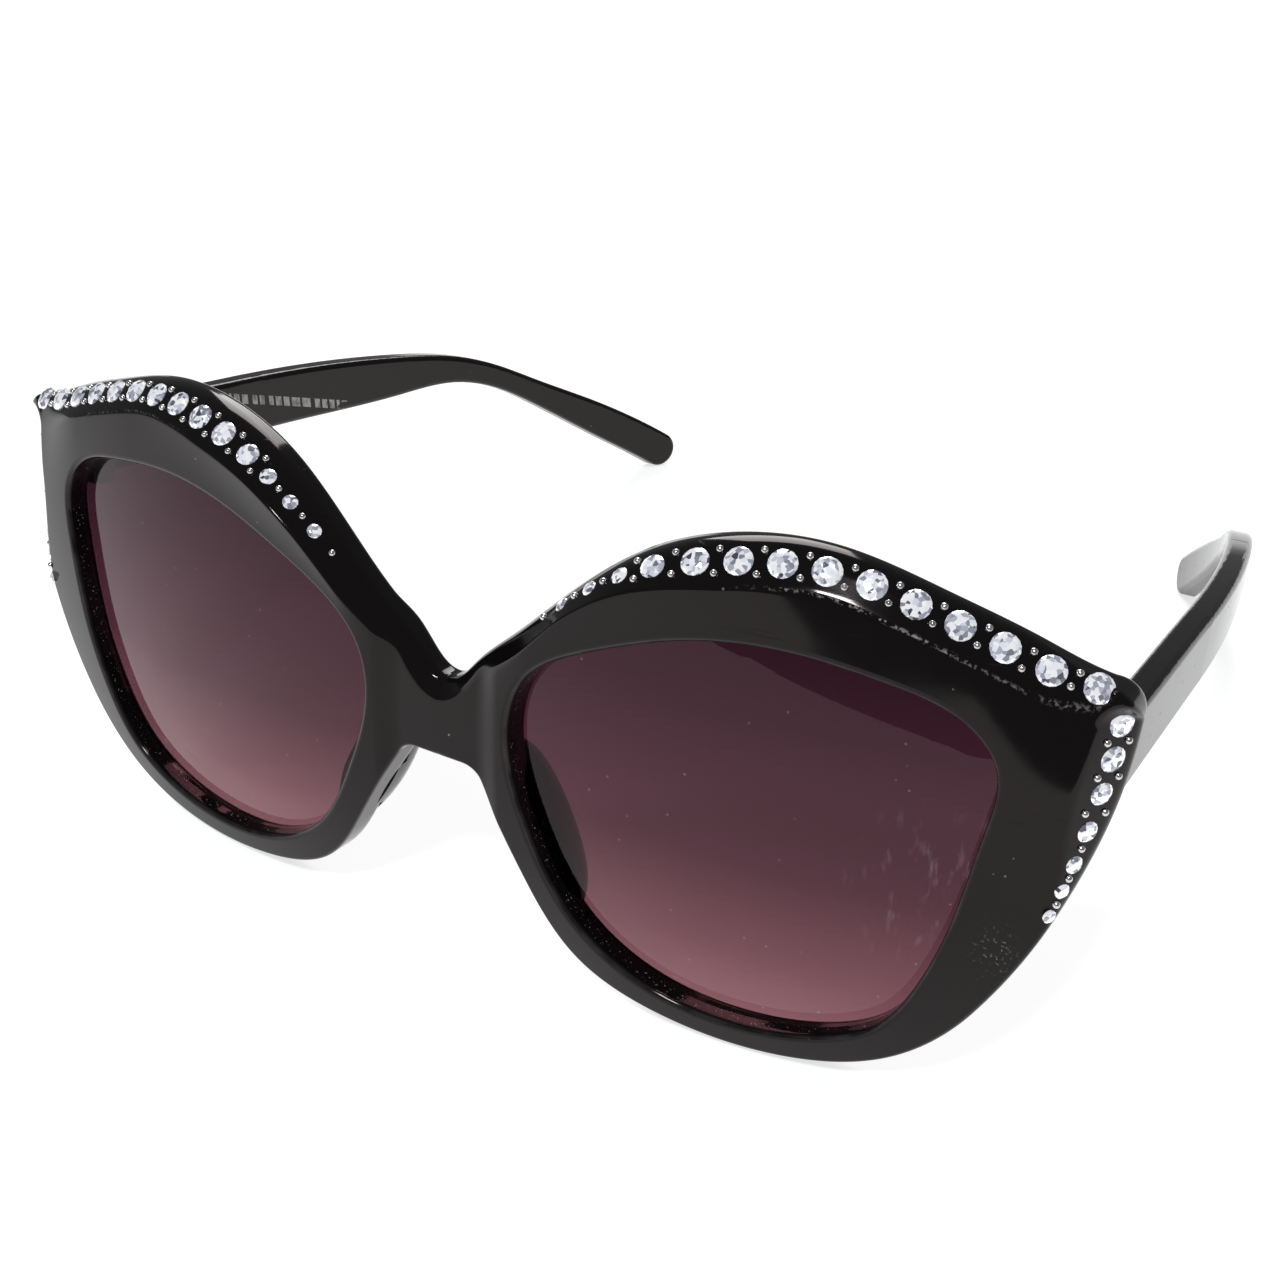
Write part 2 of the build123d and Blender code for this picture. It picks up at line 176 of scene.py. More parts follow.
def side_size(v):
    size = 1 - ease((6 - v) / 22)
    return 0.15 + 0.85 * size, 0.15 + 0.85 * size, 4.4 * size - 0.8


def bevel_point(edge, shape, sizes, i, s):
    """The point at arc length s on the cross-section at (fractional) index i of an outline edge."""
    k = np.clip(int(i), 0, len(edge) - 2)
    corner = edge[k] + (edge[k + 1] - edge[k]) * (i - k)
    along = (edge[min(k + 2, len(edge) - 1)] - edge[max(k - 1, 0)])
    along = along / np.linalg.norm(along)
    outward = np.array([-along[1], along[0]])
    rise_k, setback_k, back = sizes
    top_rise, top_setback = profile(shape, shape[3])
    rise, setback = profile(shape, s)
    spot = corner + outward * (rise - top_rise) * rise_k
    return np.array([*spot, dome(*corner) - back + (top_setback - setback) * setback_k])


def brow_point(i, s):
    u = np.interp(i, np.arange(len(TOP)), TOP[:, 0])
    return bevel_point(TOP, BROW, brow_size(u), i, s)


def side_point(i, s):
    v = np.interp(i, np.arange(len(OUTSIDE)), OUTSIDE[:, 1])
    return bevel_point(OUTSIDE, SIDE, side_size(v), i, s)


def place_for(point, axis, value, last):
    i = np.linspace(0, last, 800)
    reach = np.array([point(x, 0)[axis] for x in i])
    order = np.argsort(reach)
    return float(np.interp(value, reach[order], i[order]))


def seat(point, i, s, side):
    """(origin, rotation) in the row frame of a seat on a bevel, facing out. side is 1 or -1."""
    spot = world(*point(i, s))
    along = world(*point(i + 1, s)) - world(*point(i - 1, s))
    up = world(*point(i, s + 0.1)) - world(*point(i, s - 0.1))
    normal = np.cross(along, up)
    normal *= -np.sign(normal[1]) / np.linalg.norm(normal)
    flip = np.array([side, 1, 1])
    spot, along, normal = spot * flip, along * flip, normal * flip
    x = Vector(along).normalized()
    z = Vector(normal)
    y = z.cross(x).normalized()
    x = y.cross(z)
    return Vector(spot), Matrix((x, y, z)).transposed()


STONE_U = [18.0, 21.4, 24.9] + [28.6 + 4.65 * i for i in range(11)]
STONE_SIZE = [1.8, 1.9, 2.1, 2.9] + [3.3] * 10
SIDE_V = [14.4, 9.9, 5.9, 1.5, -2.3, -5.4, -8.5]
SIDE_SIZE = [3.1, 3.0, 2.7, 2.5, 2.1, 1.8, 1.6]


def brow_line(u):
    return 0.9 * (1 - ease((u - 16) / 9)) + 0.3 * ease((u - 45) / 12) + 1.6 * ease((u - 68) / 7)


BROW_AT = [place_for(brow_point, 0, u, len(TOP) - 1) for u in STONE_U]
SIDE_AT = [place_for(side_point, 1, v, len(OUTSIDE) - 1) for v in SIDE_V]


# ---- mesh helpers ----
def new_mesh(name, verts, faces, smooth=True):
    mesh = bpy.data.meshes.new(name)
    mesh.from_pydata([tuple(map(float, v)) for v in verts], [], [tuple(map(int, f)) for f in faces])
    mesh.update()
    for polygon in mesh.polygons:
        polygon.use_smooth = smooth
    obj = bpy.data.objects.new(name, mesh)
    bpy.context.scene.collection.objects.link(obj)
    return obj


def outward_normals(obj):
    bm = bmesh.new()
    bm.from_mesh(obj.data)
    bmesh.ops.remove_doubles(bm, verts=bm.verts, dist=1e-6)
    bmesh.ops.recalc_face_normals(bm, faces=bm.faces)
    bm.to_mesh(obj.data)
    bm.free()


# ---- shader helpers ----
def material(name, **sockets):
    mat = bpy.data.materials.new(name)
    mat.use_nodes = True
    nodes, links = mat.node_tree.nodes, mat.node_tree.links
    shader = nodes["Principled BSDF"]
    for key, value in sockets.items():
        shader.inputs[key.replace("_", " ")].default_value = value
    return mat, nodes, links, shader


def node(nodes, kind, **values):
    item = nodes.new(kind)
    for key, value in values.items():
        if hasattr(item, key):
            setattr(item, key, value)
        else:
            item.inputs[key.replace("_", " ")].default_value = value
    return item


def object_coords(nodes, links, scale):
    coords = node(nodes, "ShaderNodeTexCoord")
    mapping = node(nodes, "ShaderNodeMapping")
    mapping.inputs["Scale"].default_value = scale
    links.new(coords.outputs["Object"], mapping.inputs["Vector"])
    return mapping.outputs["Vector"]


def ramp(nodes, stops):
    item = node(nodes, "ShaderNodeValToRGB")
    while len(item.color_ramp.elements) < len(stops):
        item.color_ramp.elements.new(0.5)
    for element, (place, value) in zip(item.color_ramp.elements, stops):
        element.position = place
        element.color = value if len(value) == 4 else (*value, 1)
    return item


def grey(x):
    return (x, x, x, 1)


# layer of the mesh, noise scale, where the marks start and are full, how pale they are; ridge is rubbing and
# a painted highlight line, lip a painted highlight line, inner_wall dust, scuff a painted glint with
# scratches
WEAR_AND_HIGHLIGHTS = [("ridge_rub_highlight", 2200.0, 0.5, 0.62, 0.4), ("lip_highlight", 300.0, 0.3, 0.7, 0.035),
        ("inner_wall", 3200.0, 0.66, 0.72, 0.3), ("scuff_glint", 2600.0, 0.6, 0.7, 0.25)]


def acetate(name, seed, wear_and_highlights=False):
    """Polished black acetate: near-black, fine haze, hairline scratches and grains of dust. On the front it
    also gets pale rubbing and dust on the edges, painted highlight lines along the brow ridge and eye lip,
    and a painted glint with scratches at one lower corner.
    """
    mat, nodes, links, shader = material(name, Roughness=0.09, IOR=1.33, Specular_Tint=(1.0, 0.86, 0.84, 1))
    at = object_coords(nodes, links, (1, 1, 1))
    haze = node(nodes, "ShaderNodeTexNoise", Scale=90.0 + seed, Detail=5.0, Roughness=0.6)
    links.new(at, haze.inputs["Vector"])
    rough = ramp(nodes, [(0.35, grey(0.05)), (0.75, grey(0.13))])
    links.new(haze.outputs["Fac"], rough.inputs["Fac"])
    scratch_at = object_coords(nodes, links, (60, 300, 1500))
    scratches = node(nodes, "ShaderNodeTexNoise", Scale=1.0, Detail=2.0)
    links.new(scratch_at, scratches.inputs["Vector"])
    lines = ramp(nodes, [(0.69, grey(0)), (0.72, grey(0.18))])
    links.new(scratches.outputs["Fac"], lines.inputs["Fac"])
    total = node(nodes, "ShaderNodeMath", operation="ADD")
    links.new(rough.outputs["Color"], total.inputs[0])
    links.new(lines.outputs["Color"], total.inputs[1])
    links.new(total.outputs[0], shader.inputs["Roughness"])
    dust = node(nodes, "ShaderNodeTexVoronoi", Scale=420.0)
    links.new(at, dust.inputs["Vector"])
    black = (0.0035, 0.003, 0.0034)
    grains = ramp(nodes, [(0.0, (0.28, 0.26, 0.25)), (0.045, (0.22, 0.2, 0.2)), (0.075, black)])
    links.new(dust.outputs["Distance"], grains.inputs["Fac"])
    where = node(nodes, "ShaderNodeTexNoise", Scale=150.0, Detail=1.0)
    links.new(at, where.inputs["Vector"])
    mask = ramp(nodes, [(0.6, grey(0)), (0.68, grey(1))])
    links.new(where.outputs["Fac"], mask.inputs["Fac"])
    tone = node(nodes, "ShaderNodeMix", data_type="RGBA")
    tone.inputs["A"].default_value = (*black, 1)
    links.new(mask.outputs["Color"], tone.inputs["Factor"])
    links.new(grains.outputs["Color"], tone.inputs["B"])
    colour = tone.outputs["Result"]
    if wear_and_highlights:
        # adds rubbing, dust, painted highlight lines on ridge and lip, and a painted glint at the scuff
        for mark in WEAR_AND_HIGHLIGHTS:
            colour = pale_wear_and_highlight(nodes, links, at, colour, *mark)
    links.new(colour, shader.inputs["Base Color"])
    bump = node(nodes, "ShaderNodeBump", Strength=0.05, Distance=0.0001)
    links.new(haze.outputs["Fac"], bump.inputs["Height"])
    links.new(bump.outputs["Normal"], shader.inputs["Normal"])
    return mat


def pale_wear_and_highlight(nodes, links, at, colour, layer, scale, low, high, pale):
    """Pale broken marks where the mesh carries the named layer: rubbing and dust, and painted highlight on
    the ridge, lip and scuff layers.
    """
    edge = node(nodes, "ShaderNodeAttribute", attribute_name=layer)
    broken = node(nodes, "ShaderNodeTexNoise", Scale=scale, Detail=2.0)
    links.new(at, broken.inputs["Vector"])
    spots = ramp(nodes, [(low, grey(0)), (high, grey(1))])
    links.new(broken.outputs["Fac"], spots.inputs["Fac"])
    share = node(nodes, "ShaderNodeMath", operation="MULTIPLY")
    links.new(edge.outputs["Fac"], share.inputs[0])
    links.new(spots.outputs["Color"], share.inputs[1])
    mixed = node(nodes, "ShaderNodeMix", data_type="RGBA")
    mixed.inputs["B"].default_value = (pale, 0.95 * pale, 0.92 * pale, 1)
    links.new(share.outputs[0], mixed.inputs["Factor"])
    links.new(colour, mixed.inputs["A"])
    return mixed.outputs["Result"]


LENS_FOOT, LENS_HEAD = 0.003, 0.056
STREAKED = (0.064, -0.0765, 0.029)


def lens_tint():
    """Graduated lens: dark plum at the brow, rosy brown below, with dust and a few streaks."""
    mat, nodes, links, shader = material("lens_tint", IOR=1.34, Transmission_Weight=1.0,
                                         Specular_IOR_Level=0.42, Specular_Tint=(1.0, 0.72, 0.76, 1))
    coords = node(nodes, "ShaderNodeTexCoord")
    split = node(nodes, "ShaderNodeSeparateXYZ")
    links.new(coords.outputs["Object"], split.inputs[0])
    height = node(nodes, "ShaderNodeMapRange")
    height.inputs["From Min"].default_value = LENS_FOOT
    height.inputs["From Max"].default_value = LENS_HEAD
    links.new(split.outputs["Z"], height.inputs["Value"])
    tint = ramp(nodes, [(0.0, (0.3, 0.13, 0.15)), (0.2, (0.175, 0.066, 0.085)),
                        (0.45, (0.075, 0.024, 0.037)), (0.8, (0.032, 0.008, 0.016)),
                        (1.0, (0.017, 0.004, 0.008))])
    links.new(height.outputs["Result"], tint.inputs["Fac"])
    dust = node(nodes, "ShaderNodeTexVoronoi", Scale=260.0)
    links.new(coords.outputs["Object"], dust.inputs["Vector"])
    specks = ramp(nodes, [(0.02, grey(0.8)), (0.05, grey(0))])
    links.new(dust.outputs["Distance"], specks.inputs["Fac"])
    mixed = node(nodes, "ShaderNodeMix", data_type="RGBA")
    mixed.inputs["B"].default_value = (0.55, 0.5, 0.5, 1)
    links.new(specks.outputs["Color"], mixed.inputs["Factor"])
    links.new(tint.outputs["Color"], mixed.inputs["A"])
    near = node(nodes, "ShaderNodeVectorMath", operation="DISTANCE")
    near.inputs[1].default_value = STREAKED
    links.new(coords.outputs["Object"], near.inputs[0])
    patch = node(nodes, "ShaderNodeMapRange")
    for key, value in (("From Min", 0.014), ("From Max", 0.003)):
        patch.inputs[key].default_value = value
    links.new(near.outputs["Value"], patch.inputs["Value"])
    streak_at = object_coords(nodes, links, (900, 900, 260))
    streaks = node(nodes, "ShaderNodeTexNoise", Scale=1.0, Detail=3.0)
    links.new(streak_at, streaks.inputs["Vector"])
    thin = ramp(nodes, [(0.6, grey(0)), (0.72, grey(0.5))])
    links.new(streaks.outputs["Fac"], thin.inputs["Fac"])
    share = node(nodes, "ShaderNodeMath", operation="MULTIPLY")
    links.new(patch.outputs["Result"], share.inputs[0])
    links.new(thin.outputs["Color"], share.inputs[1])
    scuffed = node(nodes, "ShaderNodeMix", data_type="RGBA")
    scuffed.inputs["B"].default_value = (0.5, 0.46, 0.5, 1)
    links.new(share.outputs[0], scuffed.inputs["Factor"])
    links.new(mixed.outputs["Result"], scuffed.inputs["A"])
    links.new(scuffed.outputs["Result"], shader.inputs["Base Color"])
    smear = node(nodes, "ShaderNodeTexNoise", Scale=55.0, Detail=6.0, Roughness=0.65)
    links.new(coords.outputs["Object"], smear.inputs["Vector"])
    rough = ramp(nodes, [(0.5, grey(0.0)), (0.85, grey(0.05))])
    links.new(smear.outputs["Fac"], rough.inputs["Fac"])
    links.new(rough.outputs["Color"], shader.inputs["Roughness"])
    return mat


def crystal_glass():
    """Cut crystal over silver foil: bright, sharp and slightly cool, each facet a little different, with a
    painted glow of its own tone.
    """
    mat, nodes, links, shader = material("crystal_glass", Metallic=0.55, IOR=1.7, Coat_Weight=1.0,
                                         Coat_Roughness=0.01, Emission_Strength=0.45)
    at = object_coords(nodes, links, (1, 1, 1))
    cells = node(nodes, "ShaderNodeTexVoronoi", Scale=1900.0)
    links.new(at, cells.inputs["Vector"])
    tone = ramp(nodes, [(0.1, (0.06, 0.06, 0.08)), (0.35, (0.4, 0.42, 0.5)), (0.55, (0.86, 0.88, 0.95)),
                        (0.85, (1.0, 0.98, 0.96))])
    links.new(cells.outputs["Color"], tone.inputs["Fac"])
    links.new(tone.outputs["Color"], shader.inputs["Base Color"])
    # Painted glow: the cell tone is also emitted, so the stones light themselves like lamps.
    links.new(tone.outputs["Color"], shader.inputs["Emission Color"])
    rough = node(nodes, "ShaderNodeTexNoise", Scale=600.0)
    links.new(at, rough.inputs["Vector"])
    spread = ramp(nodes, [(0.3, grey(0.03)), (0.7, grey(0.12))])
    links.new(rough.outputs["Fac"], spread.inputs["Fac"])
    links.new(spread.outputs["Color"], shader.inputs["Roughness"])
    return mat


def metal(name, colour, low, high, scale):
    """Plated or brushed metal with uneven polish."""
    mat, nodes, links, shader = material(name, Metallic=1.0)
    at = object_coords(nodes, links, scale)
    noise = node(nodes, "ShaderNodeTexNoise", Scale=400.0, Detail=4.0)
    links.new(at, noise.inputs["Vector"])
    rough = ramp(nodes, [(0.3, grey(low)), (0.7, grey(high))])
    links.new(noise.outputs["Fac"], rough.inputs["Fac"])
    links.new(rough.outputs["Color"], shader.inputs["Roughness"])
    tone = ramp(nodes, [(0.3, tuple(0.75 * c for c in colour)), (0.6, colour)])
    links.new(noise.outputs["Fac"], tone.inputs["Fac"])
    links.new(tone.outputs["Color"], shader.inputs["Base Color"])
    bump = node(nodes, "ShaderNodeBump", Strength=0.1, Distance=0.00005)
    links.new(noise.outputs["Fac"], bump.inputs["Height"])
    links.new(bump.outputs["Normal"], shader.inputs["Normal"])
    return mat


def ink():
    """Worn pale print."""
    mat, nodes, links, shader = material("print_ink", Roughness=0.55)
    at = object_coords(nodes, links, (1, 1, 1))
    noise = node(nodes, "ShaderNodeTexNoise", Scale=900.0, Detail=3.0)
    links.new(at, noise.inputs["Vector"])
    tone = ramp(nodes, [(0.35, (0.12, 0.115, 0.11)), (0.55, (0.38, 0.36, 0.34))])
    links.new(noise.outputs["Fac"], tone.inputs["Fac"])
    links.new(tone.outputs["Color"], shader.inputs["Base Color"])
    rough = ramp(nodes, [(0.3, grey(0.45)), (0.7, grey(0.7))])
    links.new(noise.outputs["Fac"], rough.inputs["Fac"])
    links.new(rough.outputs["Color"], shader.inputs["Roughness"])
    return mat


ACETATE = acetate("acetate_black", 0, True)
ARM_ACETATE = acetate("arm_acetate_black", 7)
PAD_ACETATE = acetate("pad_acetate_black", 13)
LENS = lens_tint()
CRYSTAL = crystal_glass()
BEAD = metal("silver_bead", (0.75, 0.73, 0.72), 0.12, 0.3, (1, 1, 1))
STEEL = metal("hinge_steel", (0.55, 0.55, 0.57), 0.25, 0.45, (1, 1, 6))
SCREW = metal("screw_steel", (0.62, 0.62, 0.64), 0.15, 0.35, (1, 1, 1))
INK = ink()
SLOTS = {"frame_acetate": ACETATE, "temple_acetate": ARM_ACETATE, "pad_acetate": PAD_ACETATE,
         "tinted_lens": LENS, "crystal": CRYSTAL, "silver_bead": BEAD, "hinge_steel": STEEL,
         "screw_steel": SCREW}


def finish_cad_nodes():
    """Gives every carried-over CAD piece its material."""
    for part in frame["record"]["subparts"]:
        obj = frame["nodes"][part["node"]]
        for i in range(max(1, len(obj.data.materials))):
            if i < len(obj.data.materials):
                obj.data.materials[i] = SLOTS[part["material_slot"]]
            else:
                obj.data.materials.append(SLOTS[part["material_slot"]])


def dress(obj, mat, slot_name, body, *nodes):
    obj.data.materials.append(mat)
    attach(obj, body)
    if nodes:
        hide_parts(*nodes)


# ---- front frame ----
def distance_to(line, points):
    """Distance from each point to a polyline, and the nearest fractional index."""
    best = np.full(len(points), 1e9)
    index = np.zeros(len(points))
    for k in range(len(line) - 1):
        a, b = line[k], line[k + 1]
        ab = b - a
        t = np.clip(((points - a) @ ab) / (ab @ ab + 1e-12), 0, 1)
        d = np.linalg.norm(points - a - t[:, None] * ab, axis=1)
        closer = d < best
        best[closer] = d[closer]
        index[closer] = k + t[closer]
    return best, index


def bevel_height(points, edge, shape, size_of, axis):
    """Height of a bevel's surface over points of the front plane."""
    away, index = distance_to(edge, points)
    along = np.interp(index, np.arange(len(edge)), edge[:, axis])
    corner = np.stack([np.interp(index, np.arange(len(edge)), edge[:, i]) for i in (0, 1)], axis=-1)
    rise_k, setback_k, back = size_of(along)
    s = np.linspace(-80, shape[3], 1600)
    rise, setback = profile(shape, s)
    depth = rise[-1] - rise
    up = setback[-1] - setback
    raised = np.interp(away / rise_k, depth[::-1], up[::-1])
    return np.where(away > 10, 99, dome(corner[:, 0], corner[:, 1]) - back + raised * setback_k)


def soft_min(a, b, blend):
    h = np.clip(0.5 + 0.5 * (b - a) / blend, 0, 1)
    return b * (1 - h) + a * h - blend * h * (1 - h)


def rounding(distance, radius):
    """How far an edge rounded to a radius drops, by distance from it."""
    x = np.clip(1 - distance / radius, 0, 1)
    return radius * (1 - np.sqrt(np.clip(1 - x * x, 0, 1)))


STATIONS, FACE_RINGS, EYE_LOOPS = 720, 72, 8
EYE_MIDDLE = (39, -10)
EYE_LIFT = 0.4
# Centre and spread of a painted glint on the lower outer rim, broken into scratches.
SCUFF_GLINT_AT, SCUFF_GLINT_SPREAD = (70.3, -14.6), (1.6, 2.4)


def front_mesh():
    """The whole front: domed face, brow and side bevels, rounded lips, walls, grooved eye openings."""
    stations = STATIONS
    outer = resample(np.vstack([OUTLINE, [(0, -0.3)]]), stations + 1)[:-1]
    low = np.clip((-0.3 - outer[:, 1]) / 10.3, 0, 1.3)
    squeeze = np.where(outer[:, 0] < 8, 3 * (1 - outer[:, 0] / 8) * low, 0)
    middle_u, middle_v = EYE_MIDDLE
    angle = np.arctan2(outer[:, 1] + squeeze - middle_v, outer[:, 0] - middle_u)
    eye_angle = np.arctan2(EYE[:, 1] - middle_v, EYE[:, 0] - middle_u)
    order = np.argsort(eye_angle)
    inner = np.stack([np.interp(angle, eye_angle[order], EYE[order, i], period=2 * pi)
                      for i in (0, 1)], axis=-1)
    r = 0.5 - 0.5 * np.cos(np.linspace(0, pi, FACE_RINGS))
    r = 0.35 * r + 0.65 * np.linspace(0, 1, FACE_RINGS)
    grid = inner[:, None] + (outer - inner)[:, None] * r[None, :, None]
    flat = grid.reshape(-1, 2)
    top = face(flat[:, 0], flat[:, 1])
    brow = bevel_height(flat, TOP, BROW, brow_size, 0)
    side = bevel_height(flat, OUTSIDE, SIDE, side_size, 1)
    height = soft_min(soft_min(top, brow, 0.35), side, 0.4)
    # Ridge marks along the brow bevel's lower edge: partly pale rubbing, partly a painted highlight line,
    # strongest for u between 44 and 62.
    ridge_mark_span = np.interp(flat[:, 0], [38, 44, 62, 67, 77], [0, 1, 1, 0.45, 0.3])
    ridge_rub_highlight = ridge_mark_span * np.clip(1 - abs(top - brow - 0.05) / 0.14, 0, 1)
    to_outline, _ = distance_to(OUTLINE, flat)
    to_eye, _ = distance_to(EYE, flat)
    # A painted highlight line just inside the rounded lip of the eye opening.
    lip_highlight = np.clip(1 - abs(to_eye - 0.3) / 0.3, 0, 1)
    height = height - rounding(to_outline, 0.5) - rounding(to_eye, 0.9)
    height = height.reshape(grid.shape[:2])
    rear = base_face(grid[..., 0], grid[..., 1]) - WALL
    loops = []
    seam = outer[:, 0] < 1e-6
    along = np.roll(outer, -1, axis=0) - np.roll(outer, 1, axis=0)
    inward = np.stack([along[:, 1], -along[:, 0]], axis=-1) / np.linalg.norm(along, axis=1)[:, None]

    def pulled_in(step):
        """The outline moved in along its own normal, and the seam at the middle kept in its plane."""
        moved = outer + inward * step
        moved[seam, 0] = 0
        moved[seam, 1] = -5.45 + (outer[seam, 1] + 5.45) * (5.15 - step) / 5.15
        return moved

    edge_height, edge_rear = height[:, -1], rear[:, -1]
    for k in np.linspace(0.15, 0.8, 5):
        loops.append((outer, edge_height + (edge_rear + REAR_ROUND - edge_height) * k))
    for k in np.linspace(0, pi / 2, 6):
        loops.append((pulled_in(REAR_ROUND * (1 - cos(k))), edge_rear + REAR_ROUND * (1 - sin(k))))
    rim = pulled_in(REAR_ROUND)
    for k in np.linspace(0.12, 1, 8):
        place = rim + (inner - rim) * k
        back = base_face(place[:, 0], place[:, 1]) - WALL
        loops.append((place, back + (EYE_LIFT if k == 1 else 0)))
    for k in np.linspace(0.1, 0.9, EYE_LOOPS):
        loops.append((inner, (rear[:, 0] + EYE_LIFT) * (1 - k) + height[:, 0] * k))
    rings = [np.column_stack([grid[:, j], height[:, j]]) for j in range(grid.shape[1])]
    rings += [np.column_stack([p, h]) for p, h in loops]
    local = np.array(rings)
    verts = world(local[..., 0], local[..., 1], local[..., 2]).reshape(-1, 3)
    count = len(rings)
    faces = []
    for j in range(count):
        n = (j + 1) % count
        for i in range(stations):
            m = (i + 1) % stations
            wall = grid.shape[1] - 1 <= j < grid.shape[1] + 10
            if not (wall and seam[i] and seam[m]):
                faces.append((j * stations + i, j * stations + m, n * stations + m, n * stations + i))
    mirrored = verts * (-1, 1, 1)
    both = faces + [tuple(k + len(verts) for k in f[::-1]) for f in faces]
    obj = new_mesh("front_frame_shell", np.vstack([verts, mirrored]), both)
    wall = np.zeros(len(verts))
    wall[-EYE_LOOPS * stations:] = 1

    def over_face(values):
        """Values of the face's rings, with 0 on the rest of the mesh."""
        padded = np.zeros(len(verts))
        padded[:values.size] = values.reshape(grid.shape[:2]).T.ravel()
        return padded

    # A painted glint broken into scratches at the lower outer rim of the +x half; the mirrored half gets
    # none.
    du = (grid[..., 0] - SCUFF_GLINT_AT[0]) / SCUFF_GLINT_SPREAD[0]
    dv = (grid[..., 1] - SCUFF_GLINT_AT[1]) / SCUFF_GLINT_SPREAD[1]
    scuff_glint = np.exp(-du ** 2 - dv ** 2)
    # layers for the pale marks, and their share on the mirrored half: ridge rubbing with a painted highlight
    # line, lip a painted highlight line, inner_wall dust, scuff a painted glint
    for name, values, other in (("ridge_rub_highlight", over_face(ridge_rub_highlight), 0.25), ("lip_highlight", over_face(lip_highlight), 1),
                                ("inner_wall", wall, 1), ("scuff_glint", over_face(scuff_glint), 0)):
        layer = obj.data.attributes.new(name, "FLOAT", "POINT")
        layer.data.foreach_set("value", np.concatenate([values, other * values]))
    outward_normals(obj)
    return obj


# ---- stones and beads ----
def brilliant(size):
    """A round brilliant's crown on a girdle: table, eight kites, star and girdle facets."""
    r = size / 2000
    verts = []
    rings = ((8, pi / 8, 0.56, 0.3), (8, 0, 0.8, 0.2), (16, 0, 1, 0.03), (16, 0, 1, -0.25))
    for count, turn, reach, height in rings:
        for k in range(count):
            angle = turn + 2 * pi * k / count
            verts.append(Vector((reach * r * cos(angle), reach * r * sin(angle), height * r)))
    faces = [tuple(range(8))]
    for k in range(8):
        n = (k + 1) % 8
        girdle = 16 + 2 * k
        faces.append((k - 1 if k else 7, 8 + k, k))
        faces.append((8 + k, girdle, girdle + 1))
        faces.append((8 + k, girdle + 1, k))
        faces.append((k, girdle + 1, 8 + n))
        faces.append((8 + n, girdle + 1, 16 + (2 * k + 2) % 16))
    faces += [(16 + k, 32 + k, 32 + (k + 1) % 16, 16 + (k + 1) % 16) for k in range(16)]
    return verts, faces


def dome_bead(size):
    """A half sphere."""
    r = size / 2000
    verts = [Vector((r * cos(a) * cos(b), r * sin(a) * cos(b), r * sin(b)))
             for b in np.linspace(-0.3, pi / 2 - 0.02, 7) for a in np.linspace(0, 2 * pi, 16, endpoint=False)]
    faces = [(16 * j + i, 16 * j + (i + 1) % 16, 16 * j + 16 + (i + 1) % 16, 16 * j + 16 + i)
             for j in range(6) for i in range(16)]
    return verts, faces + [tuple(range(96, 112))]


def scatter(name, seats, shapes, smooth, seed):
    """One object from small shapes, each set on its seat and turned at random about its axis."""
    turn = random.Random(seed)
    verts, faces = [], []
    for (origin, basis), (points, polygons) in zip(seats, shapes):
        spin = basis @ Matrix.Rotation(turn.uniform(0, 2 * pi), 3, "Z")
        spin = spin @ Matrix.Rotation(turn.uniform(-0.05, 0.05), 3, "X")
        start = len(verts)
        verts += [origin + spin @ p for p in points]
        faces += [tuple(start + k for k in f) for f in polygons]
    obj = new_mesh(name, verts, faces, smooth)
    outward_normals(obj)
    return obj


def bead_spots(point, at, values, line, lone):
    spots = []
    for k in range(len(at) - 1):
        middle = (at[k] + at[k + 1]) / 2
        base = line((values[k] + values[k + 1]) / 2)
        for spread in ([0.0] if k in lone else [-1.35, 1.35]):
            spots.append((point, middle, base + spread))
    return spots


def jewels(side, label):
    """Stones and beads along one brow and down one side."""
    stones = [seat(brow_point, i, brow_line(u), side) for i, u in zip(BROW_AT, STONE_U)]
    obj = scatter(label + "_brow_stones", stones, [brilliant(d) for d in STONE_SIZE], False, 11)
    dress(obj, CRYSTAL, "crystal", "front", label + "_brow_crystals")
    stones = [seat(side_point, i, 0.6, side) for i in SIDE_AT]
    obj = scatter(label + "_side_stones", stones, [brilliant(d) for d in SIDE_SIZE], False, 12)
    dress(obj, CRYSTAL, "crystal", "front", label + "_side_crystals")
    spots = [(brow_point, place_for(brow_point, 0, STONE_U[0] - 2.4, len(TOP) - 1), brow_line(16))]
    spots += bead_spots(brow_point, BROW_AT, STONE_U, brow_line, (0, 1))
    seats = [seat(*spot, side) for spot in spots]
    obj = scatter(label + "_brow_prongs", seats, [dome_bead(0.9)] * len(seats), True, 13)
    dress(obj, BEAD, "silver_bead", "front", label + "_brow_beads")
    spots = bead_spots(side_point, SIDE_AT, SIDE_V, lambda v: 0.6, (3, 4, 5))
    seats = [seat(*spot, side) for spot in spots]
    obj = scatter(label + "_side_prongs", seats, [dome_bead(0.9)] * len(seats), True, 14)
    dress(obj, BEAD, "silver_bead", "front", label + "_side_beads")


# ---- pale print inside the right temple: plain bars in place of lettering ----
BARS_START, BAR_GAP = -0.0345, 0.0005
BAR_LENGTHS = (1.3, 1.3, 0.5, 1.2, 1.3, 0, 1.1, 1.1, 0, 1.0, 1.3, 1.3, 1.9, 1.9, 0,
               1.2, 1.2, 1.2, 0.7, 1.3, 0, 1.0, 1.0)


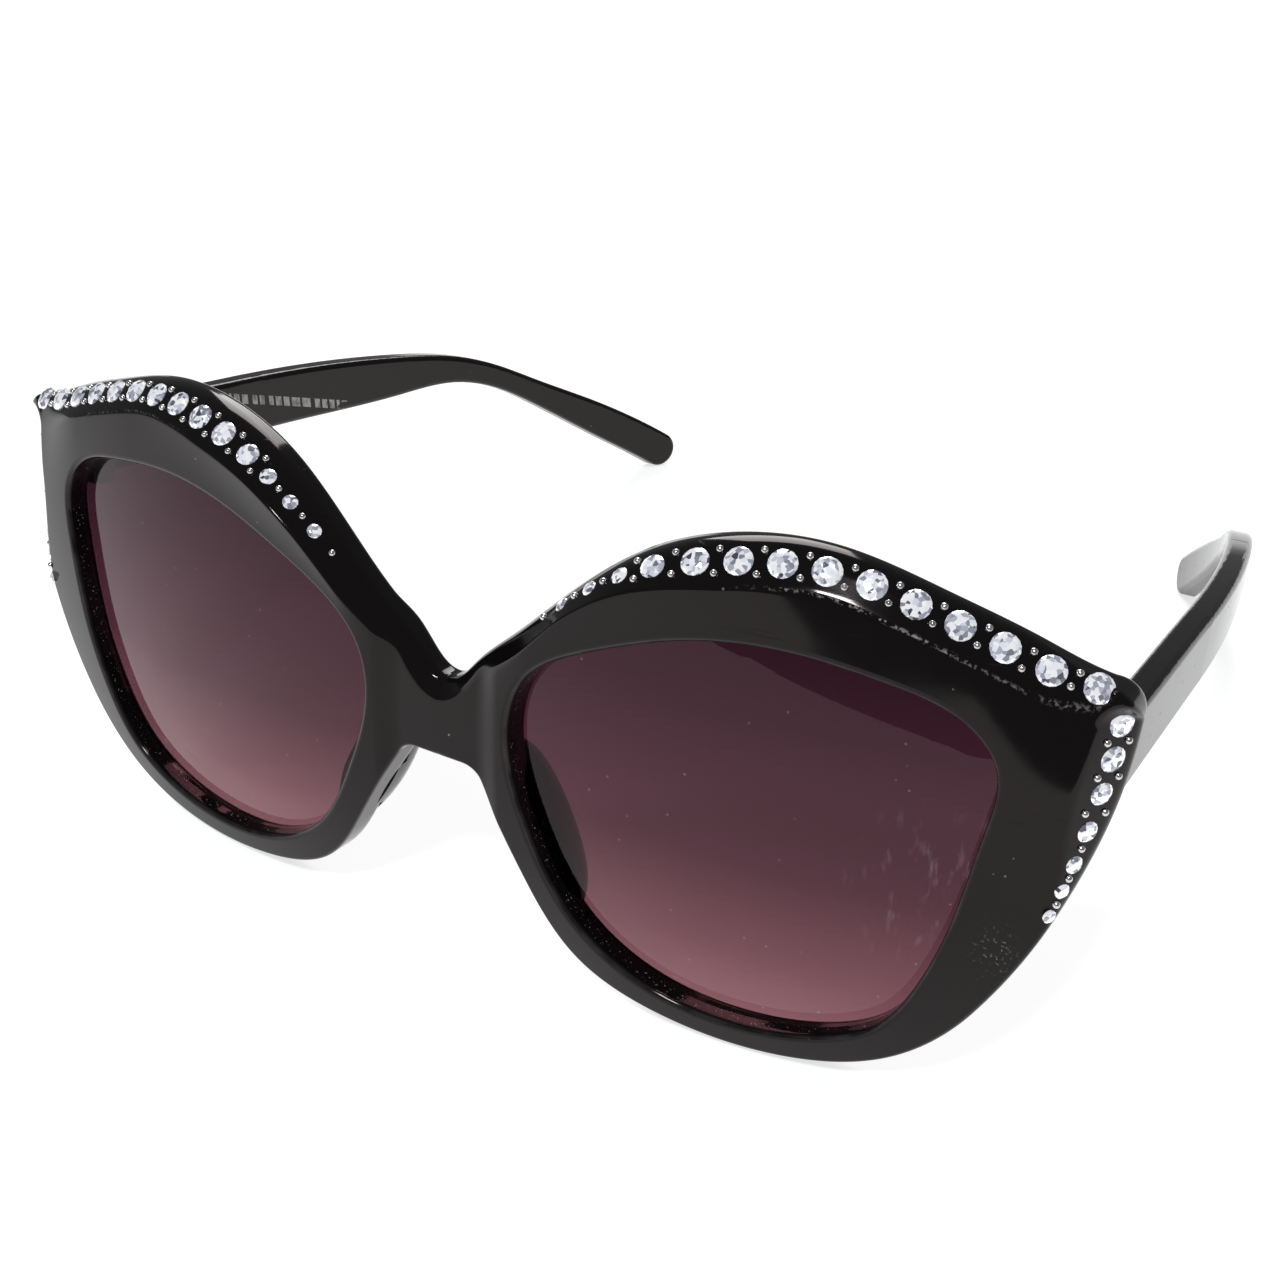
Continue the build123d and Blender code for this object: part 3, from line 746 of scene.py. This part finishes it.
def print_bars():
    """Short bars set just proud of the temple's inner face. A length of 0 is a wider gap."""
    temple = frame["nodes"]["right_temple"]
    verts, faces = [], []
    y = BARS_START
    for length in BAR_LENGTHS:
        if length:
            along = np.linspace(y, y + length / 1000, 4)
            heights = [(a, 0.0358 - 0.36 * (a + 0.0045) + up) for a in along for up in (-0.0008, 0.0008)]
            hits = [temple.ray_cast(Vector((0, a, z)), Vector((-1, 0, 0))) for a, z in heights]
            if all(hit[0] for hit in hits):
                start = len(verts)
                verts += [hit[1] + hit[2] * 0.00003 for hit in hits]
                faces += [(start + 2 * k, start + 2 * k + 1, start + 2 * k + 3, start + 2 * k + 2)
                          for k in range(3)]
        y += length / 1000 + BAR_GAP
    obj = new_mesh("right_temple_print", verts, faces, False)
    obj.data.materials.append(INK)
    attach(obj, "right_arm")


# ---- camera, light and floor ----
def camera():
    data = bpy.data.cameras.new("camera")
    data.lens = 45.62
    data.sensor_width = 36
    data.shift_x = -0.0278
    data.clip_start = 0.01
    obj = bpy.data.objects.new("camera", data)
    bpy.context.scene.collection.objects.link(obj)
    right = Vector((0.86751, 0.49706, 0.01869))
    up = Vector((-0.25726, 0.41620, 0.87212))
    back = Vector((0.42572, -0.76139, 0.48893))
    turned = Matrix((right, up, back)).transposed().to_4x4()
    obj.matrix_world = Matrix.Translation((0.1065, -0.20835, 0.13939)) @ turned
    bpy.context.scene.camera = obj


def area_light(name, location, target, size, power, colour=(1, 1, 1)):
    data = bpy.data.lights.new(name, "AREA")
    data.shape = "RECTANGLE"
    data.size, data.size_y = size
    data.energy = power
    data.color = colour
    obj = bpy.data.objects.new(name, data)
    bpy.context.scene.collection.objects.link(obj)
    obj.location = location
    obj.rotation_euler = (Vector(target) - Vector(location)).to_track_quat("-Z", "Y").to_euler()


def studio():
    """A pale table top that ends at a slanted front edge, a plain grey studio and two soft lights."""
    turn, edge, reach = radians(-38.5), 0.232, 3
    corners = [(a * cos(turn) - b * sin(turn), a * sin(turn) + b * cos(turn), -0.0002)
               for a, b in ((edge, -reach), (edge, reach), (-4, reach), (-4, -reach))]
    floor = new_mesh("floor", corners, [(0, 1, 2, 3)], False)
    mat, _, _, shader = material("pale_floor", Roughness=0.9, Specular_IOR_Level=0.0)
    shader.inputs["Base Color"].default_value = grey(0.55)
    shader.inputs["Emission Color"].default_value = grey(1)
    shader.inputs["Emission Strength"].default_value = 0.72
    floor.data.materials.append(mat)
    sky = bpy.data.worlds.new("studio")
    sky.use_nodes = True
    sky.node_tree.nodes["Background"].inputs["Color"].default_value = (0.95, 0.97, 1, 1)
    sky.node_tree.nodes["Background"].inputs["Strength"].default_value = 0.2
    bpy.context.scene.world = sky
    area_light("overhead", (-0.5, 0.9, 0.9), (0, 0, 0), (0.7, 0.7), 10)
    area_light("key", (0.12, -0.55, 0.75), (0.03, -0.07, 0.04), (0.12, 0.12), 4, (0.93, 0.96, 1))
    bpy.context.scene.view_settings.view_transform = "Standard"


finish_cad_nodes()
FRONT = front_mesh()
dress(FRONT, ACETATE, "frame_acetate", "front", "front_frame")
jewels(1, "left")
jewels(-1, "right")
print_bars()
camera()
studio()
